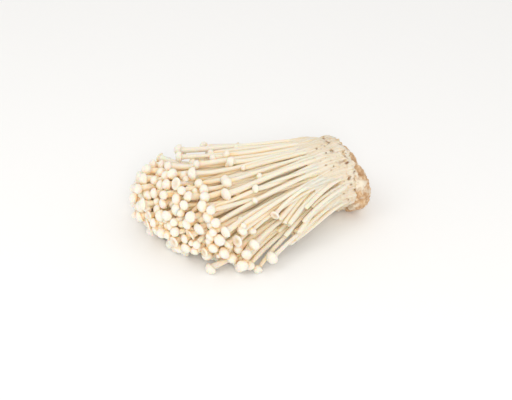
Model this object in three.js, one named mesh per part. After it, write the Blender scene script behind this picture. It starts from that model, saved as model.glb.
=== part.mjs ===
// A bunch of enoki mushrooms lying on its side, as picked: one root block with a crust of the
// substrate it grew on, tufts of long thin mushrooms that fan out from it, and single mushrooms
// lying loose over the tufts. Millimetres, +Z up. The caps point to -X, and the fan opens to -Y.
import * as THREE from "three";

// ---- Driving dimensions ----
const BLOCK_RADIUS = 26; // the root block, a domed disc that lies on its rim
const BLOCK_HEIGHT = 25; // of its axis above the surface that the bunch lies on
const BLOCK_YAW = 26; // degrees from -X towards -Y, the way the root block faces
const BLOCK_BACK = -3; // along the block's axis, where flesh ends and crust begins
const BACK_SLIDE = 0.35; // how far the back slides to the near side, per step back
const BACK_DROP = 0.45; // how far it drops, per step back
const BACK_TAPER = 0.009; // how much narrower it gets, per millimetre back
const RIM_AT = 6; // along the axis, where the domed front starts
const DOME_RISE = 22; // of the domed front, from its rim to its middle
const CRUST_BACK = -18; // along the axis, the far side of the crust
const CRUST_RADIUS = 25.5;
const JOINT_GAP = 0.5; // between the block and its crust
const STEM_DISC = 24.5; // radius of the disc of stems where they leave the block
const FOOT_GAP = 0.7; // between the dome and the feet of the stems
const FAN_LENGTH = 108; // of the longest stems, from the dome to their caps
const HEAP_HALF = 22; // half the height of the heap of stems at its far end
const FAN_MIDDLE = 19; // degrees from -X towards -Y, the heading of the middle stems
const FAN_SPREAD = 27; // degrees more from the middle to either side
const FAN_SKEW = 3; // degrees that both sides keep back towards the far side
const STEM_RADIUS = 1.4;
const CAP_RADIUS = 3.4;
const TUFT_RINGS = 3; // round one middle tuft, with 6 more tufts in each next ring
const FLUTES = 5; // the outer stems that show on the side of each tuft

// Where each loose mushroom lies: degrees round the disc of stems, from the far side over the top,
// and how far its cap reaches, as a share of the stems below it.
const LOOSE = [
  [47.5, 0.84],
  [52.5, 0.93],
  [58, 0.74],
  [63, 0.92],
  [68, 0.7],
  [73, 0.88],
  [78, 0.62],
  [83, 0.82],
  [88, 0.66],
  [93, 0.94],
  [98, 0.64],
  [103, 0.82],
  [107.5, 0.58],
  [113.5, 0.84],
  [119, 0.66],
  [124.5, 0.93],
  [129, 0.68],
  [135, 0.9],
  [140, 0.64],
  [147, 0.84],
];

const FLESH = new THREE.MeshStandardMaterial({ color: 0xf1e6cd, roughness: 0.55, metalness: 0 });
const ROOT = new THREE.MeshStandardMaterial({ color: 0xeee8da, roughness: 0.8, metalness: 0 });
const CRUST = new THREE.MeshStandardMaterial({ color: 0xcfa878, roughness: 0.95, metalness: 0 });

const { degToRad, radToDeg, lerp, clamp } = THREE.MathUtils;
const UP = new THREE.Vector3(0, 0, 1);

// A direction that heads from -X towards -Y by one angle and rises by another, in radians.
function heading(turn, rise = 0) {
  const level = Math.cos(rise);
  return new THREE.Vector3(-Math.cos(turn) * level, -Math.sin(turn) * level, Math.sin(rise));
}

// ---- The root block's own frame ----
const AXIS = heading(degToRad(BLOCK_YAW));
const ACROSS = new THREE.Vector3().crossVectors(AXIS, UP); // level, towards the far side

function inBlock(along, across, up) {
  return new THREE.Vector3(0, 0, BLOCK_HEIGHT + up)
    .addScaledVector(AXIS, along)
    .addScaledVector(ACROSS, across);
}

// The same for what lies behind the rim, which slides and narrows on its way back.
function inBack(along, across, up) {
  const back = Math.min(0, along);
  const narrow = 1 + BACK_TAPER * back;
  return inBlock(along, across * narrow + BACK_SLIDE * back, up * narrow + BACK_DROP * back);
}

function dome(r) {
  return RIM_AT + DOME_RISE * (1 - r * r);
}

// ---- The fan of stems ----
// A stem starts at (u, v) on the unit disc, u towards the far side and v up, and runs on with t
// from 0 to 1. Neighbours stay neighbours all the way, so two stems' lines never cross.
function turnOf(u) {
  return degToRad(FAN_MIDDLE - FAN_SPREAD * u - FAN_SKEW * u * u);
}

function fan(u, v, t) {
  const facing = degToRad(BLOCK_YAW);
  const turn = turnOf(u);
  const reach = FAN_LENGTH / 3;
  const foot = inBlock(dome(Math.hypot(u, v)) + FOOT_GAP, STEM_DISC * u, STEM_DISC * v);
  const height = HEAP_HALF * (Math.sqrt(Math.max(0, 1 - u * u)) + v);
  const end = inBlock(dome(Math.abs(u)) + FOOT_GAP, STEM_DISC * u, 0)
    .addScaledVector(heading(turn), FAN_LENGTH)
    .setZ(Math.max(0, height));
  const leaving = heading(lerp(facing, turn, 0.6), 0.1 * Math.max(0, v));
  const arriving = heading(lerp(facing, turn, 1.15));
  return new THREE.CubicBezierCurve3(
    foot,
    foot.clone().addScaledVector(leaving, reach),
    end.clone().addScaledVector(arriving, -reach),
    end,
  ).getPoint(t);
}

// How much of the fan the stems at (u, v) fill: the near and far sides and the top fall short.
function extent(u, v) {
  const turn = radToDeg(turnOf(u));
  const near = 0.0085 * Math.max(0, turn - 15);
  const far = 0.011 * Math.max(0, 10 - turn);
  return 1 - near - far - 0.08 * Math.max(0, v);
}

// ---- Lathed solids, each bent into its place ----
// place turns a lathe's point, with y along its axis, into a point of the bunch.
function bentLathe(profile, segments, place) {
  const outline = profile.map(([radius, along]) => new THREE.Vector2(radius, along));
  const geometry = new THREE.LatheGeometry(outline, segments);
  const at = geometry.getAttribute("position");
  for (let i = 0; i < at.count; i++) {
    const p = place(at.getX(i), at.getY(i), at.getZ(i));
    at.setXYZ(i, p.x, p.y, Math.max(0, p.z)); // flat where it rests on the surface
  }
  geometry.computeVertexNormals();
  return geometry;
}

// A wave round a lathe's axis, from 0 to 1.
function wave(x, z, lobes, start) {
  return 0.5 + 0.5 * Math.sin(lobes * Math.atan2(z, x) + start);
}

function rootBlock() {
  const domed = [1, 0.85, 0.65, 0.4, 0.2, 0].map((r) => [STEM_DISC * r, dome(r)]);
  const profile = [
    [0, BLOCK_BACK],
    [BLOCK_RADIUS - 4, BLOCK_BACK],
    [BLOCK_RADIUS - 1, BLOCK_BACK + 1],
    [BLOCK_RADIUS, 0],
    [BLOCK_RADIUS, RIM_AT - 2],
    ...domed,
  ];
  return bentLathe(profile, 24, (x, y, z) => {
    const onRim = y < RIM_AT ? 1 : 0;
    const above = 0.5 + (0.5 * z) / BLOCK_RADIUS; // no dents in the side that it rests on
    const shrink = 1 - 0.05 * onRim * above * wave(x, z, 5, 1);
    return inBack(y, x * shrink, z * shrink);
  });
}

function substrateCrust() {
  const front = BLOCK_BACK - JOINT_GAP;
  const profile = [
    [0, CRUST_BACK],
    [0.4 * CRUST_RADIUS, CRUST_BACK + 1],
    [0.66 * CRUST_RADIUS, CRUST_BACK + 3],
    [0.86 * CRUST_RADIUS, CRUST_BACK + 6],
    [0.97 * CRUST_RADIUS, CRUST_BACK + 10],
    [CRUST_RADIUS, front - 1.5],
    [0.92 * CRUST_RADIUS, front],
    [0, front],
  ];
  return bentLathe(profile, 22, (x, y, z) => {
    const shrink = 1 - 0.06 * wave(x, z, 4, 0.7);
    const hollow = y < front - 2 ? 0.07 * Math.hypot(x, z) * wave(x, z, 3, 2) : 0;
    return inBack(y + hollow, x * shrink, z * shrink);
  });
}

// The radius at which one ring of tufts meets the next, so that every tuft has the same area.
function ringEdge(ring) {
  const tuftsWithin = (k) => 1 + 3 * k * (k + 1);
  return Math.sqrt(tuftsWithin(ring) / tuftsWithin(TUFT_RINGS));
}

// A tuft is a dense group of mushrooms that tears off the bunch as one. Its fluted section nearly
// fills one cell of the disc of stems, all the way along the fan.
function tuft(ring, place) {
  const inner = ring > 0 ? ringEdge(ring - 1) : 0;
  const middle = ring > 0 ? (inner + ringEdge(ring)) / 2 : 0;
  const halfDepth = ringEdge(ring) - middle;
  const halfAngle = ring > 0 ? Math.PI / (6 * ring) : 0;
  const angle = halfAngle * (2 * place + 1);
  const end = extent(middle * Math.cos(angle), middle * Math.sin(angle));

  const inCell = (out, side) => {
    if (ring === 0) return [0.9 * halfDepth * out, 0.9 * halfDepth * side];
    const r = middle + halfDepth * out;
    const a = angle + halfAngle * side;
    return [r * Math.cos(a), r * Math.sin(a)];
  };
  const profile = [
    [0, 0],
    [0.86, 0],
    [0.86, 0.18 * end],
    [0.87, 0.36 * end],
    [0.88, 0.54 * end],
    [0.89, 0.72 * end],
    [0.9, 0.87 * end],
    [0.93, 0.95 * end],
    [0.72, 0.99 * end],
    [0, end],
  ];
  return bentLathe(profile, 2 * FLUTES, (x, y, z) => {
    const [out, side] = fluted(x, z);
    const [u, v] = inCell(out, side);
    return fan(u, v, y);
  });
}

// Squares up a round section so that it fills its cell, with a groove between each two flutes.
function fluted(x, z) {
  const angle = Math.atan2(z, x);
  const square = (Math.abs(Math.cos(angle)) ** 3 + Math.abs(Math.sin(angle)) ** 3) ** (-1 / 3);
  const groove = 1 - 0.06 * (1 - Math.cos(FLUTES * angle));
  const radius = Math.hypot(x, z) * square * groove;
  return [radius * Math.cos(angle), radius * Math.sin(angle)];
}

// The line of a mushroom that lies on the tufts and holds its cap just clear of them.
class LooseLine extends THREE.Curve {
  constructor(angle, end) {
    super();
    this.angle = angle;
    this.end = end;
  }

  getPoint(share) {
    const r = 1.12 + 0.12 * share * share;
    return fan(r * Math.cos(this.angle), r * Math.sin(this.angle), share * this.end);
  }
}

function looseMushroom(degrees, reach) {
  const angle = degToRad(degrees);
  const line = new LooseLine(angle, reach * extent(Math.cos(angle), Math.sin(angle)));
  const length = line.getLength();
  const cap = CAP_RADIUS * (0.85 + 0.15 * Math.sin(degrees)); // no two alike
  const profile = [
    [0, 0],
    [0.74 * STEM_RADIUS, 0],
    [0.8 * STEM_RADIUS, 0.2 * length],
    [0.87 * STEM_RADIUS, 0.4 * length],
    [0.93 * STEM_RADIUS, 0.6 * length],
    [STEM_RADIUS, 0.8 * length],
    [STEM_RADIUS, length - 1.5 * cap],
    [0.85 * cap, length - 1.35 * cap],
    [cap, length - 0.9 * cap],
    [0.72 * cap, length - 0.3 * cap],
    [0, length],
  ];
  return bentLathe(profile, 7, (x, y, z) => {
    const at = clamp(y / length, 0, 1);
    const along = line.getTangentAt(at);
    const side = new THREE.Vector3().crossVectors(along, UP).normalize();
    const up = new THREE.Vector3().crossVectors(side, along);
    return line.getPointAt(at).addScaledVector(side, x).addScaledVector(up, z);
  });
}

// ---- Assembly ----
const bunch = new THREE.Group();

function add(name, geometry, material) {
  const mesh = new THREE.Mesh(geometry, material);
  mesh.name = name;
  bunch.add(mesh);
}

function numbered(name, number) {
  return `${name}_${String(number).padStart(2, "0")}`;
}

add("root_block", rootBlock(), ROOT);
add("substrate_crust", substrateCrust(), CRUST);

let tufts = 0;
for (let ring = 0; ring <= TUFT_RINGS; ring++) {
  for (let place = 0; place < Math.max(1, 6 * ring); place++) {
    tufts += 1;
    add(numbered("tuft", tufts), tuft(ring, place), FLESH);
  }
}

LOOSE.forEach(([degrees, reach], i) => {
  add(numbered("loose_mushroom", i + 1), looseMushroom(degrees, reach), FLESH);
});

// The origin is under the middle of the bunch, on the surface that it lies on.
const box = new THREE.Box3().setFromObject(bunch);
const middle = box.getCenter(new THREE.Vector3());
bunch.position.set(-middle.x, -middle.y, -box.min.z);

const part = new THREE.Group();
part.add(bunch);
export default part;
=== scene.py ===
import math
import random

import bmesh
import bpy
import numpy as np
from mathutils import Matrix, Vector, bvhtree, kdtree, noise


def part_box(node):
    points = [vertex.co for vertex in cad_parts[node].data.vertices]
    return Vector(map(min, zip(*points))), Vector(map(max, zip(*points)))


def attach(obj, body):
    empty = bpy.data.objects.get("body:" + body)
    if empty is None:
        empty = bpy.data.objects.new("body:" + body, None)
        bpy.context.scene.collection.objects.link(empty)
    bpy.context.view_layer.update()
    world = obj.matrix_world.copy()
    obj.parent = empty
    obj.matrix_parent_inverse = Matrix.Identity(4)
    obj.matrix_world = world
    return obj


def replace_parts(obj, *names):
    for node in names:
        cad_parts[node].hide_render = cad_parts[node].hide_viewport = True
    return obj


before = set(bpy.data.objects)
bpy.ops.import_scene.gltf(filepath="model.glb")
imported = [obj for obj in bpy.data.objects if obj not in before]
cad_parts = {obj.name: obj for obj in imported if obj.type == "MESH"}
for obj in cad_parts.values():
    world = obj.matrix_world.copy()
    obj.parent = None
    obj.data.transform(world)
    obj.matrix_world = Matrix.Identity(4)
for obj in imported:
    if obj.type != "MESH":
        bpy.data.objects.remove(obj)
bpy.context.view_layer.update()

MM = 0.001
UP = Vector((0, 0, 1))
GOLDEN_ANGLE = math.pi * (3 - math.sqrt(5))
dice = random.Random(11)

# ---- The root block, as the CAD has it ----
BLOCK_YAW = math.radians(26)  # from -X towards -Y, the way it faces
BLOCK_RADIUS = 25.5 * MM
BLOCK_BACK = -2.5 * MM  # along its axis, where flesh ends and crust begins
BACK_SLIDE = (0.35, 0.45)  # how far its back slides, per step back, to the near side and down
BACK_TAPER = 0.009  # how much narrower it gets, per millimetre back
RIM_AT = 6 * MM  # along its axis, where the domed front starts
DOME_RISE = 22 * MM
CRUST_BACK = -18 * MM
CRUST_RADIUS = 25 * MM
STEM_DISC = 23.8 * MM  # radius of the disc of stems, which (u, v) below are shares of
AXIS = Vector((-math.cos(BLOCK_YAW), -math.sin(BLOCK_YAW), 0))
ACROSS = Vector((-math.sin(BLOCK_YAW), math.cos(BLOCK_YAW), 0))
block_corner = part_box("root_block")[1]
RIM_CENTRE = Vector((block_corner.x - 12.85 * MM, block_corner.y - 22.83 * MM, 25 * MM))

# ---- The flesh of the root block ----
SHOULDER = 1.9 * MM  # how far the flesh swells on its upper far side, where the stems leave it
SHOULDER_AT = 12 * MM
SHOULDER_HALF = 9 * MM
SHOULDER_SIDE = (0.53, 0.85)  # across and up, the way it swells
PITTED_TO = 13 * MM  # along its axis, where its pits and brown patches end
PITTED_FADE = 14 * MM
PIT_DEPTH = 1.8  # millimetres, as is the next
GROOVE_DEPTH = 0.3
STRAND_BASE = 2.0 * MM
STRAND_TIP = 0.75 * MM
STRAND_LENGTH = (14 * MM, 38 * MM)
OUTER_LENGTH = 20 * MM  # how much longer the outermost strands are
ROOT_VOXEL = 0.78 * MM
CRUST_VOXEL = 0.7 * MM
CRUST_LUMPS = 2.6 * MM
CRUST_GRAINS = 1.5 * MM

# ---- The fan of stems ----
FAN_LENGTH = 108 * MM
HEAP_HALF = 22 * MM  # half the fan's height at its end
FAN_MIDDLE = 19  # degrees from -X towards -Y, the way the fan's middle points
FAN_SPREAD = 26.5  # degrees that each side turns from it
FAN_SKEW = -4  # degrees added at both sides
LEAVING_TURN = 0.6  # how much of a stem's own turn it has where it leaves the block
LEAVING_RISE = 0.1
ARRIVING_TURN = 1.15
SLOW_WAVE = 2.5  # millimetres that a stem's slow bends swing
FINE_WAVE = 0.65
TUFT_RINGS = 3
MUSHROOMS_IN_TUFTS = 560
WANDER = 0.14  # how far, as a share of the disc, a cap strays from its place
CLUMP = 0.2  # how far the mushrooms of a tuft draw together

# ---- One mushroom ----
STEM_RADIUS = 1.36 * MM
STEM_RANGE = (0.72, 1.12)
CAP_RADIUS = 3.9 * MM
CAP_RANGE = (0.8, 1.15)
YOUNG_CAP = 0.64  # how large the caps of the shortest mushrooms are, against the others
SQUASH = (0.9, 1.08)
MOST_TILT = 22  # degrees that a cap leans on its stem
KNOTS = 26  # points on each mushroom's line
SIDES = 7
WIDEST = 1.45  # how much wider a stem may grow where it has room
INNER_SWELL = 0.5  # how much thicker the hidden stems get by their caps, to fill the heap
GRAIN_LENGTH = 20 * MM
LOWEST = 0.05 * MM  # how close to the floor a mushroom's skin comes

# Where each loose mushroom lies: degrees round the disc of stems, from the far side over the top,
# and how far its cap reaches, as a share of the stems below it.
LOOSE = [
    (47.5, 0.84), (52.5, 0.93), (58, 0.74), (63, 0.92), (68, 0.7),
    (73, 0.88), (78, 0.62), (83, 0.82), (88, 0.66), (93, 0.94),
    (98, 0.64), (103, 0.82), (107.5, 0.58), (113.5, 0.84), (119, 0.66),
    (124.5, 0.93), (129, 0.68), (135, 0.9), (140, 0.64), (147, 0.84),
]

# Stray mushrooms low on the near side: foot and end as (u, v), and reach.
STRAYS = [
    ((-0.93, -0.25), (-0.85, -0.3), 0.74),
    ((-0.97, -0.1), (-1.25, -0.3), 0.6),
    ((-0.9, -0.38), (-0.72, -0.5), 0.82),
]


# ---- Small helpers ----
def clamp(x):
    return max(0, min(1, x))


def tree_of(points):
    tree = kdtree.KDTree(len(points))
    for i, p in enumerate(points):
        tree.insert(p, i)
    tree.balance()
    return tree


def pour(bm, into):
    """Adds a copy of everything in bm to another bmesh."""
    mesh = bpy.data.meshes.new("poured")
    bm.to_mesh(mesh)
    into.from_mesh(mesh)
    bpy.data.meshes.remove(mesh)


def mesh_from(bm, name):
    """Turns a bmesh into a mesh, and frees it."""
    mesh = bpy.data.meshes.new(name)
    bm.to_mesh(mesh)
    bm.free()
    return mesh


def linked(name, data):
    """A new object at the origin, in the scene."""
    thing = bpy.data.objects.new(name, data)
    bpy.context.scene.collection.objects.link(thing)
    return thing


def spun(outline, steps):
    """A closed form of revolution about Z, from (radius, height) pairs that start and end on it."""
    bm = bmesh.new()
    verts = [bm.verts.new((r, 0, z)) for r, z in outline]
    edges = [bm.edges.new(pair) for pair in zip(verts, verts[1:])]
    bmesh.ops.spin(bm, geom=verts + edges, cent=(0, 0, 0), axis=(0, 0, 1), angle=math.tau,
                   steps=steps, use_merge=True)
    bmesh.ops.remove_doubles(bm, verts=bm.verts, dist=0.01 * MM)
    bmesh.ops.recalc_face_normals(bm, faces=bm.faces)
    return bm


# ---- Lines of the stems ----
def in_block(along, across, up):
    """Points of the root block's own frame, from numbers or arrays."""
    parts = [np.multiply.outer(np.asarray(n, float), np.array(axis))
             for n, axis in ((along, AXIS), (across, ACROSS), (up, UP))]
    return np.array(RIM_CENTRE) + parts[0] + parts[1] + parts[2]


def dome(r):
    """How far along the axis the domed front lies, at a share of the disc's radius."""
    return RIM_AT + DOME_RISE * (1 - r * r)


def heading(turn, rise=0.0):
    turn, rise = np.broadcast_arrays(np.asarray(turn, float), rise)
    level = np.cos(rise)
    return np.stack((-np.cos(turn) * level, -np.sin(turn) * level, np.sin(rise)), -1)


def turn_of(u):
    return np.radians(FAN_MIDDLE - FAN_SPREAD * u + FAN_SKEW * u * u)


def extent(u, v):
    """How much of the fan the stems at (u, v) fill: its sides, its low near side and its top fall
    short."""
    turn = np.degrees(turn_of(u))
    near = 0.0095 * np.maximum(0, turn - 15)
    below = 0.17 * np.clip((turn - 4) / 14, 0, 1) * np.clip(-v, 0, 1)
    above = 0.2 * np.maximum(0, v) ** 2 * np.interp(u, (-0.7, -0.2), (0.1, 1))
    far = 0.011 * np.maximum(0, 10 - turn)
    return 1 - near - below - above - far


def fan_lines(feet, ends, reach, sink):
    """Lines from where stems leave the block, (u, v) on the disc, to where they end in the fan.

    feet and ends are rows of (u, v), reach is the share of the fan that each fills, and sink is how
    deep each starts inside the block's dome."""
    u, v = feet.T
    foot = in_block(dome(np.hypot(u, v)) - sink, STEM_DISC * u, STEM_DISC * v)
    eu, ev = ends.T
    height = HEAP_HALF * (np.sqrt(np.maximum(0, 1 - eu * eu)) + ev)
    turn = turn_of(eu)
    held = np.clip(eu, -1, 1)
    end = in_block(dome(held), STEM_DISC * held, np.zeros_like(eu)) + heading(turn) * FAN_LENGTH
    end[:, 2] = np.maximum(STEM_RADIUS, height)
    third = FAN_LENGTH / 3
    leaving_turn = BLOCK_YAW + LEAVING_TURN * (turn - BLOCK_YAW)
    leaving = foot + heading(leaving_turn, LEAVING_RISE * np.maximum(0, v)) * third
    arriving = end - heading(BLOCK_YAW + ARRIVING_TURN * (turn - BLOCK_YAW)) * third
    t = (np.linspace(0, 1, KNOTS)[None, :] * reach[:, None])[..., None]
    s = 1 - t
    return (s ** 3 * foot[:, None] + 3 * s * s * t * leaving[:, None]
            + 3 * s * t * t * arriving[:, None] + t ** 3 * end[:, None])


def wavy(lines, reach):
    """Gives each line its own slow bends, which grow from nothing at the foot."""
    share = np.linspace(0, 1, KNOTS)
    for line, filled in zip(lines, reach):
        for side in (Vector(ACROSS), UP):
            size = dice.gauss(0, SLOW_WAVE) * MM * filled
            turns = dice.uniform(0.5, 1.3)
            start = dice.uniform(0, math.tau)
            wave = size * share * (np.sin(math.tau * turns * share + start) - math.sin(start) * (1 - share))
            fine = dice.gauss(0, FINE_WAVE) * MM * filled
            wave += fine * share * np.sin(math.tau * dice.uniform(1.8, 3) * share + start)
            line += wave[:, None] * np.array(side)
    lines[..., 2] = np.maximum(lines[..., 2], STEM_RADIUS)
    return lines


# ---- The crowd of mushrooms ----
# outline is a cap's half section from its underside over its rim to near its top, as (radius,
# height above the neck) in cap radii, top is the height of its middle, and share is how common it is.
BUTTON = [(0.6, 0.0), (0.96, 0.34), (1.04, 0.82), (0.82, 1.32), (0.42, 1.6)]
ROUND = [(0.68, 0.2), (1.0, 0.14), (1.05, 0.54), (0.82, 0.98), (0.42, 1.24)]
FLAT = [(0.7, 0.24), (1.02, 0.12), (1.0, 0.4), (0.72, 0.72), (0.36, 0.86)]
DISHED = [(0.7, 0.3), (1.02, 0.4), (1.0, 0.66), (0.7, 0.74), (0.36, 0.6)]
CAPS = {
    "button": {"outline": BUTTON, "top": 1.68, "size": 0.9, "share": 36},
    "round": {"outline": ROUND, "top": 1.3, "size": 0.97, "share": 34},
    "flat": {"outline": FLAT, "top": 0.9, "size": 1.04, "share": 9},
    "dished": {"outline": DISHED, "top": 0.52, "size": 1.04, "share": 11},
    "pin": {"outline": BUTTON, "top": 1.68, "size": 0.58, "share": 8},
    "cut": {"outline": [(1.0, 0.1), (0.8, 0.3)], "top": 0.16, "size": 0.36, "share": 2},
}
CAP_KINDS = list(CAPS)
CAP_SHARES = [cap["share"] for cap in CAPS.values()]
# (radius, share of the length) of a stem, in stem radii
STEM_OUTLINE = [(0.84, 0.0), (0.86, 0.16), (0.9, 0.34), (0.95, 0.54), (1.0, 0.74), (1.04, 0.9), (1.12, 1.0)]
# a heptagon shrinks as it is subdivided, so rings start a little wide
ROUNDING = 1.1


class Mushroom:
    """One mushroom's place in the bunch: foot and end are (u, v), and reach its share of the fan."""

    def __init__(self, piece, foot, end, reach, loose=False, kind=None):
        self.piece = piece
        self.foot = foot
        self.end = end
        self.reach = reach
        self.loose = loose
        self.kind = kind or dice.choices(CAP_KINDS, CAP_SHARES)[0]
        self.stem = STEM_RADIUS * dice.uniform(*STEM_RANGE)
        self.cap = CAP_RADIUS * dice.uniform(*CAP_RANGE) * CAPS[self.kind]["size"]
        if self.kind != "cut":
            self.cap *= np.interp(reach / extent(*end), (0.55, 0.9), (YOUNG_CAP, 1))
        self.swell = INNER_SWELL if math.hypot(*foot) < 0.78 else 0.0
        self.tone = dice.uniform(0.85, 1) if self.kind == "dished" else 0.8 * dice.random()
        self.squash = (dice.uniform(*SQUASH), dice.uniform(*SQUASH))
        self.tilt = dice.uniform(0, MOST_TILT)
        self.spin = dice.uniform(0, 2 * math.pi)


def tufts_within(ring):
    return 1 + 3 * ring * (ring + 1)


def ring_edge(ring):
    return math.sqrt(tufts_within(ring) / tufts_within(TUFT_RINGS))


def cell_at(r, angle):
    """The ring of tufts, and the place in it, whose cell holds a point of the disc."""
    ring = next(k for k in range(TUFT_RINGS + 1) if r <= ring_edge(k) + 1e-9)
    place = int((angle % math.tau) / (math.tau / (6 * ring))) if ring else 0
    return ring, place


def tuft_at(r, angle):
    """The name of the tuft whose cell holds a point of the disc."""
    ring, place = cell_at(r, angle)
    first = tufts_within(ring - 1) + 1 if ring else 1
    return f"tuft_{first + place:02d}"


def tuft_middle(r, angle):
    """The middle, as (u, v), of the cell that holds a point of the disc."""
    ring, place = cell_at(r, angle)
    if ring == 0:
        return (0, 0)
    middle = (place + 0.5) * (math.tau / (6 * ring))
    r = (ring_edge(ring - 1) + ring_edge(ring)) / 2
    return (r * math.cos(middle), r * math.sin(middle))


def crowd():
    """Every mushroom of the bunch: those of the tufts, the strays and the loose ones."""
    members = []
    for i in range(MUSHROOMS_IN_TUFTS):
        r = math.sqrt((i + 0.5) / MUSHROOMS_IN_TUFTS)
        angle = i * GOLDEN_ANGLE
        foot = (r * math.cos(angle), r * math.sin(angle))
        middle = tuft_middle(r, angle)
        end = tuple(c + CLUMP * (m - c) + dice.gauss(0, WANDER) for c, m in zip(foot, middle))
        far = math.hypot(*end)
        if far > 1.02:
            end = (end[0] / far, end[1] / far)
        degrees = math.degrees(math.atan2(foot[1], foot[0]))
        reach = extent(end[0], end[1])
        kind = None
        luck = dice.random()
        if foot[0] < -0.6 and luck < 0.6:
            # on the near side some are gone, and others are broken off short
            if luck < 0.2:
                continue
            kind = "cut"
            reach = dice.uniform(0.26, 0.5)
            end = (foot[0] - dice.uniform(0.2, 1.0), foot[1])
        elif foot[0] < -0.4 and foot[1] < -0.2 and luck < 0.35:
            # low on the near side some are gone too
            continue
        elif r > 0.74 and -20 < degrees < 78:
            # the outermost on the far side and its top are short, but for a few
            reach *= 1 if luck < 0.05 else dice.uniform(0.56, 0.76)
        elif r > 0.82 and degrees > 0:
            # the others on top are a little short
            reach *= 1 - 0.32 * dice.random() ** 2
        elif r < 0.7 and luck < 0.22:
            # some inside the fan are young
            reach *= dice.uniform(0.6, 0.88)
        else:
            reach *= 1 - 0.14 * dice.random() ** 1.5
        members.append(Mushroom(tuft_at(r, angle), foot, end, reach, kind=kind))
    for foot, end, reach in STRAYS:
        piece = tuft_at(math.hypot(*foot), math.atan2(foot[1], foot[0]))
        members.append(Mushroom(piece, foot, end, reach, kind="round"))
    for number, (degrees, share) in enumerate(LOOSE, 1):
        angle = math.radians(degrees)
        foot = (1.01 * math.cos(angle), 1.01 * math.sin(angle))
        far = 1.1 + 0.1 * share
        end = (far * math.cos(angle) + dice.gauss(0, 0.08), far * math.sin(angle))
        reach = share * extent(math.cos(angle), math.sin(angle))
        members.append(Mushroom(f"loose_mushroom_{number:02d}", foot, end, reach, loose=True))
    return members


# ---- Room between mushrooms ----
STEM_LOOK = 1.9 * MM  # how far round itself a stem looks for others
AHEAD_LIMIT = 2.6 * MM  # stems' points further apart than this along them don't push
PUSH = 0.3
LONGEST_STEP = 0.5 * MM
PULL_BACK = 0.02
FIXED_KNOTS = 3  # those in the root block


def make_room(lines, radii, rounds):
    """Pushes the mushrooms' lines apart where they press into each other, and keeps them off the
    surface, so that they lie against their neighbours."""
    count, knots, _ = lines.shape
    rest = lines.copy()
    spans = np.linalg.norm(np.diff(lines, axis=1), axis=2, keepdims=True)
    owner = np.repeat(np.arange(count), knots)
    size = radii.reshape(-1)
    widest = 2 * size.max()
    is_cap = np.tile(np.arange(knots) == knots - 1, count)
    for _ in range(rounds):
        flat = lines.reshape(-1, 3)
        tree = tree_of(flat)
        pairs = [(i, j) for i, p in enumerate(flat)
                 for _, j, _ in tree.find_range(p, size[i] + (widest / 2 if is_cap[i] else STEM_LOOK))
                 if owner[i] != owner[j] and (is_cap[i] or not is_cap[j])]
        i, j = np.array(pairs).T
        tangent = np.gradient(lines, axis=1).reshape(-1, 3)
        tangent /= np.linalg.norm(tangent, axis=1, keepdims=True)
        between = flat[j] - flat[i]
        both = tangent[i] + tangent[j]
        both /= np.linalg.norm(both, axis=1, keepdims=True) + 1e-12
        ahead = (between * both).sum(1, keepdims=True)
        sideways = between - ahead * both
        touching = is_cap[i] | is_cap[j]
        gap = np.where(touching[:, None], between, sideways)
        distance = np.linalg.norm(gap, axis=1) + 1e-9
        over = np.maximum(0, size[i] + size[j] - distance)
        over[~touching & (np.abs(ahead[:, 0]) > AHEAD_LIMIT)] = 0
        step = np.minimum(PUSH * over, LONGEST_STEP)[:, None] * gap / distance[:, None]
        push = np.zeros_like(flat)
        hits = np.zeros(len(flat))
        np.add.at(push, j, step)
        np.add.at(push, i, -step)
        np.add.at(hits, j, over > 0)
        np.add.at(hits, i, over > 0)
        lines = lines + (push / np.sqrt(np.maximum(1, hits))[:, None]).reshape(lines.shape)
        for _ in range(2):
            lines[:, 1:-1] += 0.5 * ((lines[:, :-2] + lines[:, 2:]) / 2 - lines[:, 1:-1])
        lines += PULL_BACK * (rest - lines)
        lines[..., 2] = np.maximum(lines[..., 2], radii)
        lines[:, :FIXED_KNOTS] = rest[:, :FIXED_KNOTS]
        for k in range(FIXED_KNOTS, knots):
            stride = lines[:, k] - lines[:, k - 1]
            stride /= np.linalg.norm(stride, axis=1, keepdims=True)
            lines[:, k] = lines[:, k - 1] + stride * spans[:, k - 1]
    return lines


def widths(lines, radii):
    """How much wider than its radius each mushroom grows at each point of its line, where there is
    room beside it."""
    count, knots, _ = lines.shape
    flat = lines.reshape(-1, 3)
    tree = tree_of(flat)
    room = np.empty(len(flat))
    for i, p in enumerate(flat):
        near = [distance for _, j, distance in tree.find_n(p, 12) if j // knots != i // knots]
        room[i] = sum(near[:3]) / 3 if len(near) > 2 else 0
    wider = np.clip(0.5 * room.reshape(count, knots) / radii, 1, WIDEST)
    for _ in range(2):
        wider[:, 1:-1] = (wider[:, :-2] + wider[:, 1:-1] + wider[:, 2:]) / 3
    wider[:, -1] = wider[:, -2]
    return wider


# ---- Shade between mushrooms ----
SHADE_DISTANCE = 9 * MM
SHADE_START = 0.35 * MM  # how far off the skin the rays start
TUFT_RAYS = 10
ROOT_RAYS = 4


def ray_fan(count):
    """Directions over a half sphere about +Z, most of them near its top."""
    rays = []
    for i in range(count):
        level = math.sqrt((i + 0.5) / count)
        angle = i * GOLDEN_ANGLE
        rays.append(Vector((level * math.cos(angle), level * math.sin(angle), math.sqrt(1 - level * level))))
    return rays


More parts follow.
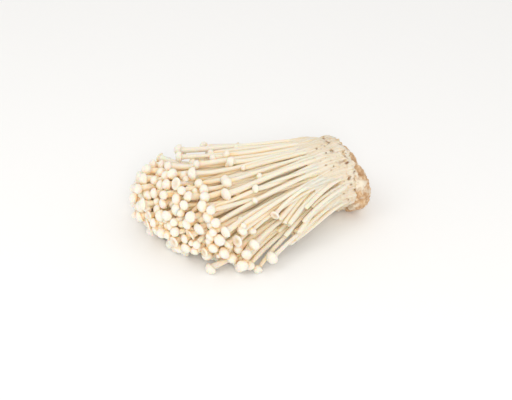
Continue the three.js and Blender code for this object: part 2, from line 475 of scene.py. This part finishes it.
# The shade found here is painted into the materials' colours, as painted shade between mushrooms and on the
# root.
def add_shade(pieces, counts):
    """Marks every vertex of the pieces with how much its neighbours close it in, from 0 to 1, by
    sending each the given count of rays."""
    everything = bmesh.new()
    for bm in pieces:
        pour(bm, everything)
    tree = bvhtree.BVHTree.FromBMesh(everything)
    everything.free()
    for bm, count in zip(pieces, counts):
        rays = ray_fan(count)
        bm.normal_update()
        shade = bm.verts.layers.float["shade"]
        for v in bm.verts:
            turn = UP.rotation_difference(v.normal)
            start = v.co + v.normal * SHADE_START
            closed = 0
            for ray in rays:
                distance = tree.ray_cast(start, turn @ ray, SHADE_DISTANCE)[3]
                if distance is not None:
                    closed += 1 - distance / SHADE_DISTANCE
            v[shade] = closed / count


# ---- Shapes of mushrooms ----
# The crown attribute is 0 on a stem, and on a cap it is one of these or more, up to 1 in its middle.
UNDERSIDE = 0.3
CAP_RIM = 0.4


def new_layers(bm):
    layers = {name: bm.verts.layers.float.new(name) for name in ("crown", "tone", "share", "shade")}
    layers["grain"] = bm.verts.layers.float_vector.new("grain")
    return layers


def grain_at(x, y, along, tone):
    """Where flesh reads its pattern: round a stem, and along it, elsewhere for each mushroom."""
    return Vector((x + 7 * tone, y, along / GRAIN_LENGTH + 13 * tone))


def mushroom_pattern(kind):
    """A straight mushroom: its stem from z = 0 to 1 in stem radii, its cap above z = 1 in cap radii."""
    cap = CAPS[kind]
    outline = [(0.0, 0.0)] + STEM_OUTLINE
    outline += [(r, 1 + h) for r, h in cap["outline"]]
    outline += [(0.0, 1 + cap["top"])]
    return mesh_from(spun(outline, SIDES), f"pattern_{kind}")


def line_frames(points):
    """Two sides and the way ahead at each point of a line, turning as little as they can."""
    side = (points[1] - points[0]).cross(UP).normalized()
    frames = []
    for k in range(len(points)):
        ahead = (points[min(k + 1, len(points) - 1)] - points[max(k - 1, 0)]).normalized()
        side = (side - ahead * side.dot(ahead)).normalized()
        frames.append((side, ahead.cross(side), ahead))
    return frames


def graft(bm, layers, pattern, shroom, line, wider):
    """Adds one mushroom to a piece, bent along its line."""
    first = len(bm.verts)
    bm.from_mesh(pattern)
    bm.verts.ensure_lookup_table()
    points = [Vector(p) for p in line]
    frames = line_frames(points)
    tip, last = points[-1], frames[-1]
    cos, sin = math.cos(shroom.spin), math.sin(shroom.spin)
    lean = Matrix.Rotation(math.radians(shroom.tilt), 3, Vector((cos, sin, 0)))
    length = sum((b - a).length for a, b in zip(points, points[1:]))
    for v in bm.verts[first:]:
        x, y, z = v.co
        turned = Vector((x * cos - y * sin, x * sin + y * cos, 0)) * ROUNDING
        if z <= 1:
            at = z * (len(points) - 1)
            k = min(int(at), len(points) - 2)
            share = at - k
            place = points[k].lerp(points[k + 1], share)
            s = frames[k][0].lerp(frames[k + 1][0], share)
            u = frames[k][1].lerp(frames[k + 1][1], share)
            room = wider[k] + share * (wider[k + 1] - wider[k])
            width = shroom.stem * (1 + shroom.swell * z * z) * room
            v.co = place + (s * turned.x + u * turned.y) * width
            crown = 0.0
        else:
            local = lean @ Vector((turned.x * shroom.squash[0], turned.y * shroom.squash[1], z - 1))
            v.co = tip + (last[0] * local.x + last[1] * local.y + last[2] * local.z) * shroom.cap
            out = math.hypot(x, y)
            crown = UNDERSIDE if z < 1.35 and out < 0.8 else CAP_RIM + (1 - CAP_RIM) * max(0, 1 - out)
            if shroom.kind == "cut":
                crown = 0.0
        v.co.z = max(v.co.z, LOWEST)
        v[layers["crown"]] = crown
        v[layers["tone"]] = shroom.tone
        v[layers["share"]] = min(z, 1)
        v[layers["grain"]] = grain_at(x, y, min(z, 1) * length, shroom.tone)


def finish_piece(name, bm, material, smooth_levels=0):
    mesh = mesh_from(bm, name)
    mesh.shade_smooth()
    mesh.materials.append(material)
    piece = linked(name, mesh)
    if smooth_levels:
        rounding = piece.modifiers.new("rounding", "SUBSURF")
        rounding.levels = smooth_levels
        rounding.render_levels = smooth_levels
    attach(piece, "root")
    return piece


# ---- The fused root ----
# from the block's own frame, with z along its axis, to the bunch's
BLOCK_FRAME = Matrix.Translation(RIM_CENTRE) @ Matrix((ACROSS, UP, AXIS)).transposed().to_4x4()


def settle_in_block(bm):
    """Slides and narrows what lies behind the rim, and puts it in the bunch's frame, on the floor."""
    for v in bm.verts:
        back = min(0, v.co.z)
        v.co.xy *= 1 + BACK_TAPER * back / MM
        v.co.x += BACK_SLIDE[0] * back
        v.co.y += BACK_SLIDE[1] * back
    bm.transform(BLOCK_FRAME)
    for v in bm.verts:
        v.co.z = max(v.co.z, 0)


def remeshed(bm, voxel):
    """One closed skin over everything in bm."""
    rough = linked("root_rough", mesh_from(bm, "root_rough"))
    skin = rough.modifiers.new("skin", "REMESH")
    skin.mode = "VOXEL"
    skin.voxel_size = voxel
    depsgraph = bpy.context.evaluated_depsgraph_get()
    result = bmesh.new()
    result.from_mesh(bpy.data.meshes.new_from_object(rough.evaluated_get(depsgraph)))
    bpy.data.objects.remove(rough)
    result.normal_update()
    return result


def stirred(p):
    """A smooth random vector, the same in every run."""
    return Vector((noise.noise(p), noise.noise(p + Vector((31, 7, 3))), noise.noise(p + Vector((5, 17, 41)))))


def strand_mesh(points, length, base, tip):
    """A tapering strand that follows the points for a length."""
    bm = bmesh.new()
    bmesh.ops.create_cone(bm, segments=6, radius1=base, radius2=tip, depth=1, cap_ends=True)
    sides = [e for e in bm.edges if abs(e.verts[0].co.z - e.verts[1].co.z) > 0.5]
    bmesh.ops.subdivide_edges(bm, edges=sides, cuts=5)
    steps = [(b - a).length for a, b in zip(points, points[1:])]
    for v in bm.verts:
        left = (v.co.z + 0.5) * length
        k = 0
        while k < len(steps) - 1 and left > steps[k]:
            left -= steps[k]
            k += 1
        ahead = (points[k + 1] - points[k]).normalized()
        side = ahead.cross(UP).normalized()
        v.co = points[k] + ahead * left + side * v.co.x + side.cross(ahead) * v.co.y
        v.co.z = max(v.co.z, 0.3 * MM)
    return bm


def add_strands(bm, lines, members):
    """Adds the stems' fused lower ends, and gives each one's mushroom, points and length."""
    strands = []
    for shroom, line in zip(members, lines):
        points = [Vector(p) for p in line]
        outer = min(1, math.hypot(*shroom.foot))
        more = OUTER_LENGTH * outer ** 2 * (0.5 if shroom.foot[0] < -0.5 else 1)
        length = dice.uniform(*STRAND_LENGTH) + more
        if outer > 0.85:
            points.insert(0, points[0] - AXIS * (RIM_AT + 2 * MM))
        width = dice.uniform(0.85, 1.12)
        strand = strand_mesh(points, length, STRAND_BASE * width, STRAND_TIP * width)
        pour(strand, bm)
        strand.free()
        strands.append((shroom, points, length))
    return strands


def strand_samples(strands):
    """A tree of points along the strands, and what each belongs to: tone, distance along, two sides
    and its place."""
    samples = []
    for shroom, points, length in strands:
        gone = 0
        for a, b in zip(points, points[1:]):
            if gone > length:
                break
            ahead = (b - a).normalized()
            side = ahead.cross(UP).normalized()
            steps = max(1, round((b - a).length / (1.2 * MM)))
            for step in range(steps):
                share = step / steps
                along = gone + share * (b - a).length
                samples.append((shroom.tone, along, side, side.cross(ahead), a.lerp(b, share)))
            gone += (b - a).length
    return tree_of([sample[-1] for sample in samples]), samples


def root_block(lines, members):
    """The white flesh of the block and the lower stems that have fused with it, under one skin."""
    outline = [(0, BLOCK_BACK), (BLOCK_RADIUS - 5 * MM, BLOCK_BACK),
               (BLOCK_RADIUS - 2 * MM, BLOCK_BACK + 2 * MM), (BLOCK_RADIUS - 1.5 * MM, RIM_AT - 2 * MM)]
    outline += [(STEM_DISC * r, dome(r)) for r in (1, 0.8, 0.6, 0.4, 0.2, 0)]
    bm = spun(outline, 48)
    settle_in_block(bm)
    strands = add_strands(bm, lines, members)
    bm = remeshed(bm, ROOT_VOXEL)
    bmesh.ops.smooth_vert(bm, verts=bm.verts, factor=0.5, use_axis_x=True, use_axis_y=True, use_axis_z=True)
    bm.normal_update()
    nearest, samples = strand_samples(strands)
    layers = new_layers(bm)
    to_block = BLOCK_FRAME.inverted()
    for v in bm.verts:
        local = to_block @ v.co
        _, index, distance = nearest.find(v.co)
        tone, along, side, lift, middle = samples[index]
        offset = (v.co - middle) / (1.5 * MM)
        edge = clamp((PITTED_TO - local.z) / PITTED_FADE)
        groove = clamp((distance / MM - 1.15) / 0.9) * (1 - 0.7 * edge)
        spots, _ = noise.voronoi(v.co * 150 + stirred(v.co * 200) * 0.5)
        hole = noise.noise(v.co * 62 + Vector((5, 3, 1)))
        pit = clamp((0.30 - spots[0]) * 6) * clamp((hole + 0.42 + 0.5 * edge) * 2 - 0.5) * edge ** 0.5
        specks, _ = noise.voronoi(v.co * 330 + Vector((2, 5, 9)))
        pit = max(pit, clamp((0.2 - specks[0]) * 9) * clamp(4 * noise.noise(v.co * 90) + 0.3))
        fine = noise.noise(v.co * 380) * 0.3 + noise.noise(v.co * 800) * 0.16
        lump = noise.noise(v.co * 130) * (0.5 + 0.8 * edge)
        shoulder = SHOULDER * math.exp(-((local.z - SHOULDER_AT) / SHOULDER_HALF) ** 2)
        shoulder *= max(0, local.x * SHOULDER_SIDE[0] + local.y * SHOULDER_SIDE[1]) / BLOCK_RADIUS
        v.co += v.normal * MM * (lump + fine * (0.7 + edge) - PIT_DEPTH * pit - GROOVE_DEPTH * groove)
        v.co += v.normal * shoulder
        v.co.z = max(v.co.z, 0)
        v[layers["crown"]] = pit
        v[layers["share"]] = edge
        # the grooves between fused stems go into tone, which root_flesh paints tan, as painted shade
        v[layers["tone"]] = groove
        v[layers["grain"]] = grain_at(offset.dot(side), offset.dot(lift), along, tone)
    return bm


def substrate_crust():
    """The lumpy layer of sawdust on the block's back."""
    front = BLOCK_BACK - 0.4 * MM
    depth = front - CRUST_BACK
    outline = [(CRUST_RADIUS * math.sin(a) ** 0.8, front - depth * math.cos(a) ** 0.7)
               for a in (math.radians(d) for d in range(0, 90, 9))]
    outline += [(CRUST_RADIUS, front), (0, front)]
    bm = spun(outline, 72)
    long_edges = [e for e in bm.edges if e.calc_length() > 3 * MM]
    bmesh.ops.subdivide_edges(bm, edges=long_edges, cuts=3, use_grid_fill=True)
    settle_in_block(bm)
    bm = remeshed(bm, CRUST_VOXEL)
    layers = new_layers(bm)
    to_block = BLOCK_FRAME.inverted()
    for v in bm.verts:
        local = to_block @ v.co
        free = clamp((front - local.z) / (2 * MM))
        crumbs, _ = noise.voronoi(v.co * 330)
        grains = 0.45 - crumbs[0] + noise.noise(v.co * 900) * 0.25
        lumps = noise.noise(v.co * 75 + Vector((3, 7, 2))) + 0.7 * noise.noise(v.co * 170)
        v.co += v.normal * free * (CRUST_LUMPS * lumps + CRUST_GRAINS * grains)
        v.co.z = max(v.co.z, 0)
        # crown holds how far each grain stands out; the crust's material paints the hollows between grains
        # dark, as painted shade
        v[layers["crown"]] = 0.5 + 0.5 * grains
        v[layers["tone"]] = 0.5 + 0.5 * lumps
        v[layers["share"]] = free
        v[layers["grain"]] = v.co / (10 * MM)
    return bm


# ---- Materials ----
class Finish:
    """A node material with short ways to add its nodes."""

    def __init__(self, name):
        self.material = bpy.data.materials.new(name)
        self.material.use_nodes = True
        self.nodes = self.material.node_tree.nodes
        self.links = self.material.node_tree.links
        self.shader = self.nodes["Principled BSDF"]

    def plug(self, value, socket):
        """Links a socket to another, or sets it to a number or a colour."""
        if isinstance(value, bpy.types.NodeSocket):
            self.links.new(value, socket)
        else:
            socket.default_value = (*value, 1) if isinstance(value, tuple) else value

    def attribute(self, name, output="Fac"):
        node = self.nodes.new("ShaderNodeAttribute")
        node.attribute_name = name
        return node.outputs[output]

    def place(self):
        return self.nodes.new("ShaderNodeTexCoord").outputs["Object"]

    def noise(self, where, scale, detail=3, stretch=(1, 1, 1)):
        mapping = self.nodes.new("ShaderNodeMapping")
        mapping.inputs["Scale"].default_value = stretch
        self.links.new(where, mapping.inputs["Vector"])
        node = self.nodes.new("ShaderNodeTexNoise")
        node.inputs["Scale"].default_value = scale
        node.inputs["Detail"].default_value = detail
        self.links.new(mapping.outputs["Vector"], node.inputs["Vector"])
        return node.outputs["Fac"]

    def ramp(self, value, stops):
        node = self.nodes.new("ShaderNodeValToRGB")
        ramp = node.color_ramp
        ramp.elements[0].position, ramp.elements[0].color = stops[0][0], (*stops[0][1], 1)
        ramp.elements[1].position, ramp.elements[1].color = stops[1][0], (*stops[1][1], 1)
        for position, colour in stops[2:]:
            ramp.elements.new(position).color = (*colour, 1)
        self.links.new(value, node.inputs["Fac"])
        return node.outputs["Color"]

    def mix(self, factor, a, b):
        node = self.nodes.new("ShaderNodeMix")
        node.data_type = "RGBA"
        for value, socket in ((factor, node.inputs[0]), (a, node.inputs[6]), (b, node.inputs[7])):
            self.plug(value, socket)
        return node.outputs[2]

    def math(self, operation, a, b):
        node = self.nodes.new("ShaderNodeMath")
        node.operation = operation
        node.use_clamp = True
        self.plug(a, node.inputs[0])
        self.plug(b, node.inputs[1])
        return node.outputs[0]

    def above(self, value, start, slope):
        """How far a value is past a start, times a slope, from 0 to 1."""
        return self.math("MULTIPLY", self.math("SUBTRACT", value, start), slope)

    def bump(self, height, strength, distance):
        node = self.nodes.new("ShaderNodeBump")
        node.inputs["Strength"].default_value = strength
        node.inputs["Distance"].default_value = distance
        self.links.new(height, node.inputs["Height"])
        self.links.new(node.outputs["Normal"], self.shader.inputs["Normal"])

    def colour(self, socket):
        self.links.new(socket, self.shader.inputs["Base Color"])

    def set(self, **values):
        for name, value in values.items():
            self.shader.inputs[name.replace("_", " ")].default_value = value


WARM_DEPTHS = (1.0, 0.62, 0.34)  # how far red, green and blue light travel in mushroom flesh
BLACK = (0, 0, 0)
WHITE = (1, 1, 1)
STEM_STREAK = (0.83, 0.77, 0.62)
STEM_CREAM = (0.845, 0.81, 0.71)
STEM_PALE = (0.85, 0.82, 0.745)
STEM_FOOT = (0.85, 0.80, 0.70)
STEM_BLOTCH = (0.84, 0.71, 0.50)
CAP_STOPS = [(0.3, (0.86, 0.78, 0.63)), (0.42, (0.86, 0.82, 0.73)), (0.8, (0.87, 0.84, 0.765)),
             (1.0, (0.86, 0.82, 0.72))]
OLD_CAP = (0.74, 0.50, 0.25)
# painted shade: the warm colours that stems and caps are painted where their neighbours close them in
SHADED_STEM = (0.97, 0.79, 0.56)
SHADED_CAP = (0.98, 0.72, 0.43)
ROOT_STOPS = [(0.38, (0.79, 0.66, 0.47)), (0.49, (0.835, 0.77, 0.645)), (0.66, (0.85, 0.805, 0.70))]
# painted shade: the tan that the grooves between fused stems are painted
ROOT_GROOVE_SHADE = (0.78, 0.56, 0.30)
ROOT_PATCH = (0.66, 0.44, 0.22)
ROOT_PIT = (0.30, 0.13, 0.05)
# painted shade: the warm colour that the root is painted where stems close it in
SHADED_ROOT = (0.86, 0.64, 0.38)
SAWDUST_STOPS = [(0.3, (0.58, 0.33, 0.15)), (0.6, (0.84, 0.62, 0.39))]
# painted shade: the dark brown of the hollows between the crust's grains
SAWDUST_HOLLOW_SHADE = (0.42, 0.21, 0.09)
THREADS = (0.86, 0.77, 0.62)


def mushroom_flesh():
    f = Finish("mushroom_flesh")
    grain = f.attribute("grain", "Vector")
    streaks = f.noise(grain, 3.0, 4, (1, 1, 0.25))
    blotches = f.noise(grain, 1.2, 2, (0.4, 0.4, 0.6))
    stem = f.ramp(streaks, [(0.3, STEM_STREAK), (0.6, STEM_CREAM)])
    pale = f.mix(f.math("MULTIPLY", f.attribute("tone"), 0.6), stem, STEM_PALE)
    foot = f.mix(f.math("MULTIPLY", f.attribute("share"), 1.6), STEM_FOOT, pale)
    stem_colour = f.mix(f.math("MULTIPLY", blotches, 0.25), foot, STEM_BLOTCH)
    crown = f.attribute("crown")
    old = f.above(f.attribute("tone"), 0.66, 2.6)
    middle = f.above(crown, 0.5, 2.0)
    cap = f.mix(f.math("MULTIPLY", old, middle), f.ramp(crown, CAP_STOPS), OLD_CAP)
    open_colour = f.mix(f.math("GREATER_THAN", crown, 0.2), stem_colour, cap)
    # painted shade: warm stem and cap colours, mixed in where the ray-cast shade attribute is high
    deep = f.mix(f.above(f.attribute("share"), 0.6, 2.5), SHADED_STEM, SHADED_CAP)
    f.colour(f.mix(f.above(f.attribute("shade"), 0.15, 1.5), open_colour, deep))
    f.bump(streaks, 0.25, 0.2 * MM)
    f.set(Roughness=0.5, Subsurface_Weight=0.6, Subsurface_Radius=WARM_DEPTHS, Subsurface_Scale=2 * MM)
    return f.material


def root_flesh():
    f = Finish("root_flesh")
    streaks = f.noise(f.attribute("grain", "Vector"), 2.4, 4, (1, 1, 0.3))
    base = f.ramp(streaks, ROOT_STOPS)
    # painted shade: tan in the grooves between the fused stems, read from the tone attribute
    groove_shaded = f.mix(f.math("MULTIPLY", f.attribute("tone"), 0.45), base, ROOT_GROOVE_SHADE)
    mottled = f.noise(f.place(), 260, 4)
    patches = f.ramp(mottled, [(0.54, BLACK), (0.68, WHITE)])
    tinted = f.mix(f.math("MULTIPLY", f.attribute("share"), patches), groove_shaded, ROOT_PATCH)
    spotted = f.mix(f.math("MULTIPLY", f.attribute("crown"), 1.7), tinted, ROOT_PIT)
    # painted shade: the root turns to SHADED_ROOT where the ray-cast shade attribute is high
    f.colour(f.mix(f.above(f.attribute("shade"), 0.2, 1.2), spotted, SHADED_ROOT))
    f.bump(f.math("ADD", f.math("MULTIPLY", mottled, 0.5), f.math("MULTIPLY", streaks, 0.5)), 0.8, 0.9 * MM)
    f.set(Roughness=0.75, Subsurface_Weight=0.3, Subsurface_Radius=WARM_DEPTHS, Subsurface_Scale=1.5 * MM)
    return f.material


def sawdust_crust():
    f = Finish("sawdust_crust")
    grains = f.noise(f.place(), 700, 3)
    brown = f.ramp(grains, SAWDUST_STOPS)
    white = f.ramp(f.noise(f.place(), 110, 4), [(0.49, BLACK), (0.6, WHITE)])
    # painted shade: where crown is low, in the hollows between grains, the crust is painted dark brown
    low = f.above(f.attribute("crown"), 0.22, 2.4)
    f.colour(f.mix(white, f.mix(low, SAWDUST_HOLLOW_SHADE, brown), THREADS))
    f.bump(grains, 0.6, 0.5 * MM)
    f.set(Roughness=0.9)
    return f.material


# ---- The floor, the light and the camera ----
LENS = 85  # millimetres, as is the sensor's width
SENSOR = 36
EYE_DISTANCE = 811 * MM
EYE_ELEVATION = math.radians(35)
FRAME = (512, 400)
RIM_IN_FRAME = (334, 174)  # where the middle of the block's rim lies, from the frame's top left


def floor():
    bm = bmesh.new()
    bmesh.ops.create_grid(bm, x_segments=1, y_segments=1, size=3)
    mesh = mesh_from(bm, "floor")
    f = Finish("pale_floor")
    f.set(Base_Color=(0.96, 0.96, 0.96, 1), Roughness=0.8)
    mesh.materials.append(f.material)
    plane = linked("floor", mesh)


def soft_light(name, place, size, power):
    lamp = bpy.data.lights.new(name, "AREA")
    lamp.shape = "DISK"
    lamp.size = size
    lamp.energy = power
    lamp.color = (1, 0.98, 0.95)
    light = linked(name, lamp)
    light.location = place
    light.rotation_euler = (-Vector(place)).to_track_quat("-Z", "Y").to_euler()


def studio():
    world = bpy.data.worlds.new("white_room")
    world.use_nodes = True
    world.node_tree.nodes["Background"].inputs["Color"].default_value = (1, 0.99, 0.97, 1)
    world.node_tree.nodes["Background"].inputs["Strength"].default_value = 0.85
    bpy.context.scene.world = world
    soft_light("key", (-0.45, -0.25, 0.75), 0.45, 0.8)
    soft_light("fill", (0.04, -0.78, 0.55), 0.3, 2.2)
    bpy.context.scene.view_settings.view_transform = "Standard"


def camera():
    right = Vector((1, 0, 0))
    back = Vector((0, -math.cos(EYE_ELEVATION), math.sin(EYE_ELEVATION)))
    scale = EYE_DISTANCE * SENSOR / (LENS * FRAME[0])
    aim = RIM_CENTRE - right * (RIM_IN_FRAME[0] - FRAME[0] / 2) * scale
    aim += back.cross(right) * (RIM_IN_FRAME[1] - FRAME[1] / 2) * scale
    lens = bpy.data.cameras.new("camera")
    lens.lens = LENS
    lens.sensor_width = SENSOR
    lens.clip_start = 0.01
    eye = linked("camera", lens)
    eye.location = aim + back * EYE_DISTANCE
    eye.rotation_euler = (math.radians(90) - EYE_ELEVATION, 0, 0)
    bpy.context.scene.camera = eye


# ---- Making it all ----
def grow(members):
    """The mushrooms' lines, settled against each other, and how wide each is along its line."""
    feet = np.array([m.foot for m in members])
    ends = np.array([m.end for m in members])
    reach = np.array([m.reach for m in members])
    sink = np.array([-0.5 * MM if m.loose else 3 * MM for m in members])
    lines = wavy(fan_lines(feet, ends, reach, sink), reach)
    slim = np.interp(np.arange(KNOTS - 1), (0, 0.3 * KNOTS, 0.6 * KNOTS), (0.6, 0.85, 1))
    swelling = np.linspace(0, 1, KNOTS - 1) ** 2
    radii = np.array([[*(m.stem * slim * (1 + m.swell * swelling)), m.cap] for m in members])
    lines = make_room(lines, radii, 22)
    return lines, widths(lines, radii)


camera()
studio()
floor()

members = crowd()
lines, wider = grow(members)
patterns = {kind: mushroom_pattern(kind) for kind in CAPS}
tufts = {}
for name in sorted({m.piece for m in members}):
    tufts[name] = bmesh.new()
    layers = new_layers(tufts[name])
    for m, line, spread in zip(members, lines, wider):
        if m.piece == name:
            graft(tufts[name], layers, patterns[m.kind], m, line, spread)
for pattern in patterns.values():
    bpy.data.meshes.remove(pattern)
root = root_block(lines, members)
add_shade([*tufts.values(), root], [TUFT_RAYS] * len(tufts) + [ROOT_RAYS])

flesh = mushroom_flesh()
for name, bm in tufts.items():
    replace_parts(finish_piece(f"{name}_mushrooms", bm, flesh, 1), name)
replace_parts(finish_piece("fused_root", root, root_flesh()), "root_block")
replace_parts(finish_piece("sawdust_layer", substrate_crust(), sawdust_crust()), "substrate_crust")
